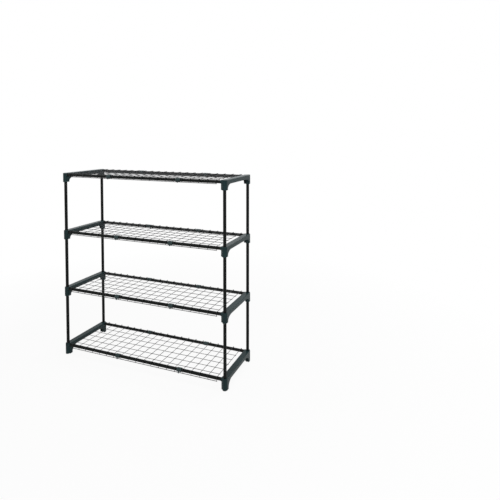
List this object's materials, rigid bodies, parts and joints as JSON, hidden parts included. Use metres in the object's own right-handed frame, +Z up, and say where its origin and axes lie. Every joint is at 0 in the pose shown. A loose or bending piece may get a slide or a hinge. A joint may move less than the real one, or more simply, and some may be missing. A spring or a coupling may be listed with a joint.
{
  "type": "greenhouse shelving unit",
  "caption": "Free-standing tiered wire shelving on push-fit steel tubes, with moulded end connectors and feet, for plants and trays.",
  "frame": {"origin": "on the floor, under the middle of the unit", "axes": "+X along the shelves to the right end, +Y from the front to the back, +Z up; the long front side faces -Y"},
  "size_m": [1.0076, 0.3068, 1.0207],
  "materials": {
    "moulded_plastic": "satin dark slate green",
    "clip_plastic": "satin dark green",
    "coated_tube": "near-black coating with a soft sheen",
    "coated_wire": "near-black coating"
  },
  "bodies": {
    "root": {"connector_t1_left": "moulded_plastic", "connector_t1_right": "moulded_plastic", "shelf_grid_t1": "coated_wire", "rail_t1_front": "coated_tube", "clip_t1_front_left": "clip_plastic", "leg_t1_front_left": "coated_tube", "clip_t1_front_right": "clip_plastic", "leg_t1_front_right": "coated_tube", "rail_t1_back": "coated_tube", "clip_t1_back_left": "clip_plastic", "leg_t1_back_left": "coated_tube", "clip_t1_back_right": "clip_plastic", "leg_t1_back_right": "coated_tube", "connector_t2_left": "moulded_plastic", "connector_t2_right": "moulded_plastic", "shelf_grid_t2": "coated_wire", "rail_t2_front": "coated_tube", "clip_t2_front_left": "clip_plastic", "leg_t2_front_left": "coated_tube", "clip_t2_front_right": "clip_plastic", "leg_t2_front_right": "coated_tube", "rail_t2_back": "coated_tube", "clip_t2_back_left": "clip_plastic", "leg_t2_back_left": "coated_tube", "clip_t2_back_right": "clip_plastic", "leg_t2_back_right": "coated_tube", "connector_t3_left": "moulded_plastic", "connector_t3_right": "moulded_plastic", "shelf_grid_t3": "coated_wire", "rail_t3_front": "coated_tube", "clip_t3_front_left": "clip_plastic", "leg_t3_front_left": "coated_tube", "clip_t3_front_right": "clip_plastic", "leg_t3_front_right": "coated_tube", "rail_t3_back": "coated_tube", "clip_t3_back_left": "clip_plastic", "leg_t3_back_left": "coated_tube", "clip_t3_back_right": "clip_plastic", "leg_t3_back_right": "coated_tube", "connector_t4_left": "moulded_plastic", "connector_t4_right": "moulded_plastic", "shelf_grid_t4": "coated_wire", "rail_t4_front": "coated_tube", "clip_t4_front_left": "clip_plastic", "clip_t4_front_right": "clip_plastic", "rail_t4_back": "coated_tube", "clip_t4_back_left": "clip_plastic", "clip_t4_back_right": "clip_plastic"}
  },
  "joints": []
}
